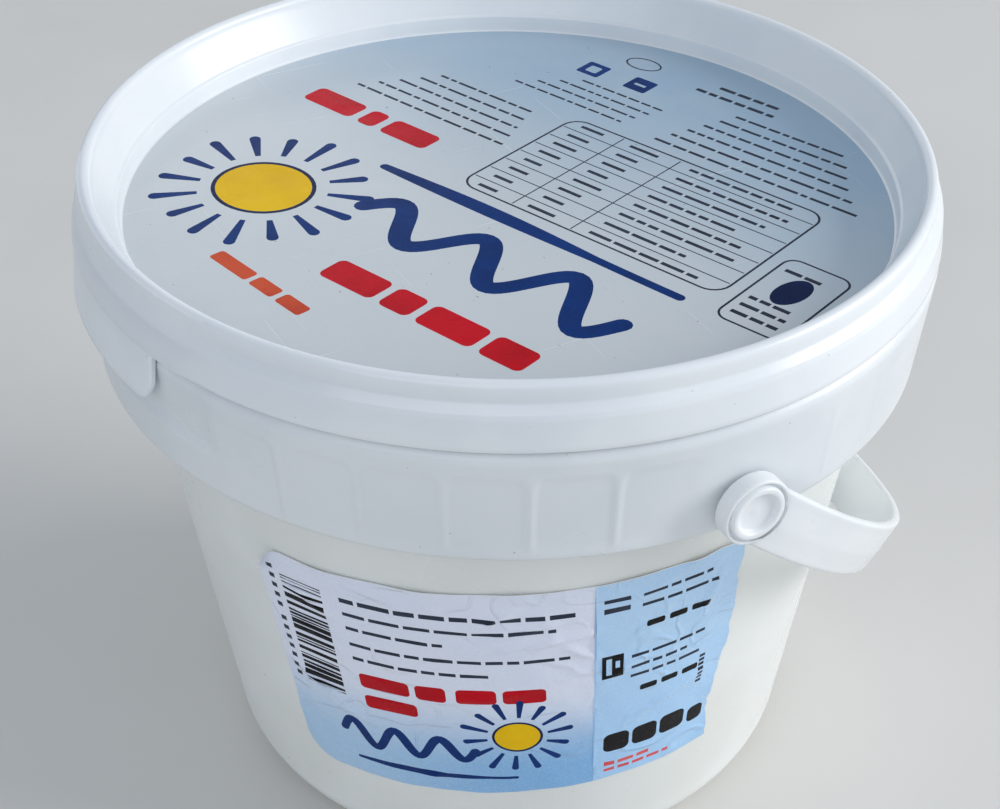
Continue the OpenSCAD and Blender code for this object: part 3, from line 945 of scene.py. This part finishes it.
def label_field(name, light, deep, lo, hi, side):
    """Printed paper: colour field with a slow gradient down the label, fibre grain and slight gloss."""
    n = Nodes(name)
    z_ = n.xyz()[2]
    g = n.map(n.math("ADD", z_, n.math("MULTIPLY", n.noise(40, 2, 0.5), 0.004)), hi, lo)
    col = n.mix(g, light, deep)
    if side:
        x_ = n.xyz()
        # deepens towards the right end of the left field
        s_ = n.map(n.math("ADD", n.math("MULTIPLY", x_[0], 0.45), n.math("MULTIPLY", x_[1], 0.9)), -0.035, 0.006)
        col = n.mix(n.math("MULTIPLY", n.math("MULTIPLY", g, s_), 0.75), col, side)
    col = n.mix(n.math("MULTIPLY", n.map(n.noise(2600, 2, 0.6), 0.4, 0.66), 0.10), col, srgb(252, 252, 255))
    col = n.mix(n.math("MULTIPLY", n.map(n.noise(70, 4, 0.6), 0.42, 0.7), 0.08), col, deep)
    n.link(col, n.b.inputs["Base Color"])
    n.link(n.map(n.noise(150, 3, 0.6), 0.3, 0.7, 0.24, 0.34), n.b.inputs["Roughness"])
    h = n.math("ADD", n.math("MULTIPLY", n.noise(420, 3, 0.6, dist=0.6), 1.4), n.math("MULTIPLY", n.noise(3000, 2, 0.5), 0.25))
    fine_n = n.bump(h, 0.00005, 0.8)
    # crumple lines: where a slow field crosses its middle, in patches
    fold = n.math("ABSOLUTE", n.math("SUBTRACT", n.noise(44, 2, 0.5, vec=n.mapping(rot=(0.5, 0.3, 0.4), scale=(1.0, 1.0, 1.7))), 0.5))
    fold = n.math("MULTIPLY", n.map(fold, 0.034, 0.0), n.map(n.noise(60, 1, 0.5), 0.44, 0.58))
    fold2 = n.math("ABSOLUTE", n.math("SUBTRACT", n.noise(95, 1, 0.5, vec=n.mapping(rot=(1.1, 0.8, 2.0), scale=(1.0, 1.6, 1.0))), 0.5))
    fold = n.math("ADD", fold, n.math("MULTIPLY", n.map(fold2, 0.045, 0.0), n.map(n.noise(48, 1, 0.5), 0.50, 0.62)))
    n.link(n.bump(fold, 0.00022, 0.75, normal=fine_n), n.b.inputs["Normal"])
    n.b.inputs["IOR"].default_value = 1.47
    return n.m


LEFT = label_field("label_left", srgb(230, 235, 250), srgb(172, 207, 238), 0.028, 0.050, srgb(98, 170, 228))
RIGHT = label_field("label_right", srgb(183, 218, 250), srgb(165, 209, 248), 0.02, 0.07, None)
n = Nodes("label_back")
n.link(n.mix(n.map(n.noise(900, 3, 0.6), 0.35, 0.65), srgb(252, 252, 252), srgb(246, 246, 247)), n.b.inputs["Base Color"])
n.link(n.map(n.noise(300, 2, 0.5), 0.3, 0.7, 0.45, 0.6), n.b.inputs["Roughness"])
n.link(n.bump(n.noise(1500, 3, 0.6), 0.00003, 0.7), n.b.inputs["Normal"])
BACK = n.m
label = build("label_sheet", LV, LF, [LEFT, RIGHT, TEXT, BLACK, RED, BLUE, NAVY, YELLOW, PINK, BACK], LI)
fix_normals(label)
sharp_by_angle(label, 40)
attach(label, "pot")
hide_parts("label")

# ------------------------------------------------------------------ bail handle
SW, ST, SS, LEAN, B1, B1E, HANG = 9.8, 1.8, 70.6, 8.0, 62.0, 11.0, 39.5
DR, DT, DS = 5.5, 2.9, 68.95
ca_, sa_ = math.cos, math.sin
rl, re_ = math.radians(LEAN), math.radians(B1E)
B2 = (SS - B1 * (ca_(rl) - ca_(re_))) / ca_(re_)
C1 = (SS - B1 * ca_(rl), B1 * sa_(rl))
C2 = (0.0, C1[1] + (B1 - B2) * sa_(re_))
cen = []
for i in range(31):
    a = -rl + (re_ + rl) * i / 30
    cen.append((C1[0] + B1 * ca_(a), C1[1] + B1 * sa_(a), a))
for i in range(1, 91):
    a = re_ + (math.pi / 2 - re_) * i / 90
    cen.append((C2[0] + B2 * ca_(a), C2[1] + B2 * sa_(a), a))
cen = [c for c in cen if c[1] > 8.4]
NS = 9
_a0 = cen[0][2]
_pre = []
for i in range(NS):
    a = -rl + (_a0 + rl) * i / NS
    _pre.append((C1[0] + B1 * ca_(a), C1[1] + B1 * sa_(a), a))
cen = _pre + cen
full = cen + [(-x, y, math.pi - a) for x, y, a in cen[::-1][1:]]
# cross section: thin band, rounded edges, faint raised rims and a fold line
def section(nw=18):
    hw, ht = SW / 2, ST / 2
    out = []
    for i in range(nw + 1):
        w = -hw + 0.55 + (SW - 1.1) * i / nw
        rim_ = 0.10 * math.exp(-((abs(w) - (hw - 0.7)) / 0.5) ** 2)
        ridge = 0.20 * max(0.0, 1 - abs(w + 0.5) / 4.3)
        out.append((w, ht - 0.14 + 0.5 * rim_ + ridge))
    for i in range(1, 7):
        a = math.pi / 2 - math.pi * i / 7
        out.append((hw - 0.55 + 0.55 * ca_(a), (ht - 0.05) * sa_(a)))
    for i in range(nw + 1):
        w = hw - 0.55 - (SW - 1.1) * i / nw
        out.append((w, -ht + 0.06))
    for i in range(1, 7):
        a = -math.pi / 2 - math.pi * i / 7
        out.append((-hw + 0.55 + 0.55 * ca_(a), (ht - 0.05) * sa_(a)))
    return out


sec = section()
HV, HF = [], []
ns = len(sec)
for ki, (x, y, a) in enumerate(full):
    nx, ny = ca_(a), sa_(a)
    d_end = min(ki, len(full) - 1 - ki)
    wob = 0.05 * math.sin(ki * 0.11) + 0.03 * math.sin(ki * 0.37 + 1)
    side = 1 if ki < len(full) / 2 else -1
    for w, tt in sec:
        xx, yy = x + nx * tt, y + ny * tt
        if d_end < NS:
            # the first rings wrap round the pivot disc
            v0 = math.sqrt(max(0.0, (DR - 0.3) ** 2 - w * w)) if abs(w) < DR - 0.3 else 0.0
            v1 = cen[NS][1]
            vv = v0 + (v1 - v0) * d_end / NS
            aa = math.asin((vv - C1[1]) / B1)
            xx, yy = side * (C1[0] + (B1 + tt) * ca_(aa)), C1[1] + (B1 + tt) * sa_(aa)
        HV.append((xx, yy, w * (1 + 0.004 * math.sin(ki * 0.2)) + wob * 0.3))
for ki in range(len(full) - 1):
    for i in range(ns):
        j = (i + 1) % ns
        HF.append((ki * ns + i, ki * ns + j, (ki + 1) * ns + j, (ki + 1) * ns + i))
HF.append(tuple(range(ns))[::-1])
HF.append(tuple((len(full) - 1) * ns + i for i in range(ns)))

# pivot discs: lathe profile along the hinge (axial distance, radius)
disc = [(64.52, 0.0), (64.52, 3.3), (64.7, 3.7), (65.5, 3.7), (65.6, 3.5), (65.6, 3.0), (DS, 3.0), (DS, 3.3), (DS, DR - 0.5), (DS + 0.1, DR - 0.15), (DS + 0.45, DR)]
disc += dense([(DS + 0.5, DR), (DS + DT - 0.55, DR)], 0.6)
disc += [(DS + DT - 0.22, DR - 0.04), (DS + DT - 0.06, DR - 0.16), (DS + DT, DR - 0.34), (DS + DT - 0.02, 5.04), (DS + DT - 0.22, 4.96), (DS + DT - 0.58, 4.90), (DS + DT - 0.68, 4.78), (DS + DT - 0.67, 4.6),
         (DS + DT - 0.50, 4.46), (DS + DT + 0.10, 4.40), (DS + DT + 0.27, 4.30), (DS + DT + 0.34, 4.12), (DS + DT + 0.34, 3.62), (DS + DT + 0.26, 3.40), (DS + DT + 0.05, 3.28), (DS + DT - 0.42, 3.18), (DS + DT - 0.54, 3.02), (DS + DT - 0.60, 2.5), (DS + DT - 0.64, 1.6), (DS + DT - 0.63, 0.6), (DS + DT - 0.56, 0.34), (DS + DT - 0.55, 0.0)]
nd = 96
for sgn in (1, -1):
    base = len(HV)
    rings = []
    for (x, rad) in disc:
        rings.append(len(HV))
        if rad < 1e-6:
            HV.append((sgn * x, 0, 0))
        else:
            for i in range(nd):
                a = 2 * math.pi * i / nd
                HV.append((sgn * x, rad * ca_(a), rad * sa_(a)))
    for kk in range(len(disc) - 1):
        a0, b0_ = rings[kk], rings[kk + 1]
        pa, pb = disc[kk][1] < 1e-6, disc[kk + 1][1] < 1e-6
        for i in range(nd):
            j = (i + 1) % nd
            if pa:
                f = (a0, b0_ + i, b0_ + j)
            elif pb:
                f = (a0 + i, b0_, a0 + j)
            else:
                f = (a0 + i, b0_ + i, b0_ + j, a0 + j)
            HF.append(f)
hg = math.radians(-HANG)
HV = [(x, y * ca_(hg) - z_ * sa_(hg), HINGE + y * sa_(hg) + z_ * ca_(hg)) for x, y, z_ in HV]
PP_H = plastic("pp_handle", srgb(237, 240, 242), srgb(230, 234, 237), rough=(0.25, 0.33), sss=0.18)
handle = build("bail", HV, HF, [PP_H])
fix_normals(handle)
sharp_by_angle(handle, 45)
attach(handle, "bail")
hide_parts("handle")

# ------------------------------------------------------------------ stage
bpy.ops.mesh.primitive_plane_add(size=6.0, location=(0, 0, -0.0002))
floor = bpy.context.object
floor.name = "floor"
n = Nodes("floor")
n.link(n.mix(n.map(n.noise(6, 3, 0.5), 0.3, 0.7), srgb(222, 220, 216), srgb(216, 214, 210)), n.b.inputs["Base Color"])
n.link(n.map(n.noise(40, 2, 0.5), 0.3, 0.7, 0.55, 0.68), n.b.inputs["Roughness"])
floor.data.materials.append(n.m)

world = bpy.context.scene.world or bpy.data.worlds.new("World")
bpy.context.scene.world = world
world.use_nodes = True
wn = world.node_tree
bg = wn.nodes.get("Background") or wn.nodes.new("ShaderNodeBackground")
bg.inputs[0].default_value = (0.83, 0.92, 1.04, 1)
bg.inputs[1].default_value = 0.49


def area(name, loc, target, size, power, colour, sy_=None):
    d = bpy.data.lights.new(name, "AREA")
    d.shape = "RECTANGLE"
    d.size = size
    d.size_y = sy_ or size
    d.energy = power
    d.color = colour
    o = bpy.data.objects.new(name, d)
    bpy.context.scene.collection.objects.link(o)
    o.location = loc
    v = Vector(target) - Vector(loc)
    o.rotation_euler = v.to_track_quat("-Z", "Y").to_euler()
    return o


area("window_right", (0.62, 1.10, 0.62), (0, 0, 0.06), 0.8, 13.5, (1.0, 0.99, 0.975), 0.8)
area("window_left", (-1.25, 0.15, 0.55), (0, 0, 0.10), 0.8, 1.2, (0.92, 0.96, 1.0), 0.6)
area("fill_front", (0.75, -0.85, 0.75), (0, 0, 0.06), 1.0, 3.4, (0.96, 0.98, 1.0), 0.8)

# ------------------------------------------------------------------ camera
cam = bpy.data.cameras.new("cam")
co = bpy.data.objects.new("cam", cam)
bpy.context.scene.collection.objects.link(co)
cam.sensor_width = 36.0
cam.sensor_fit = "HORIZONTAL"
cam.lens = 36.0 * 1.70018
cam.shift_x = -0.0748
cam.shift_y = 0.0872
cam.clip_start = 0.01
cam.clip_end = 20
rt = Vector((0.50293984, 0.86387511, 0.02777255)).normalized()
fw = Vector((-0.66158077, 0.40544588, -0.63081259)).normalized()
up = rt.cross(fw).normalized()
rt = fw.cross(up).normalized()
co.matrix_world = Matrix(((rt.x, up.x, -fw.x, 0.21392), (rt.y, up.y, -fw.y, -0.11717), (rt.z, up.z, -fw.z, 0.24034), (0, 0, 0, 1)))
bpy.context.scene.camera = co
bpy.context.scene.view_settings.view_transform = "Standard"
bpy.context.scene.view_settings.look = "None"
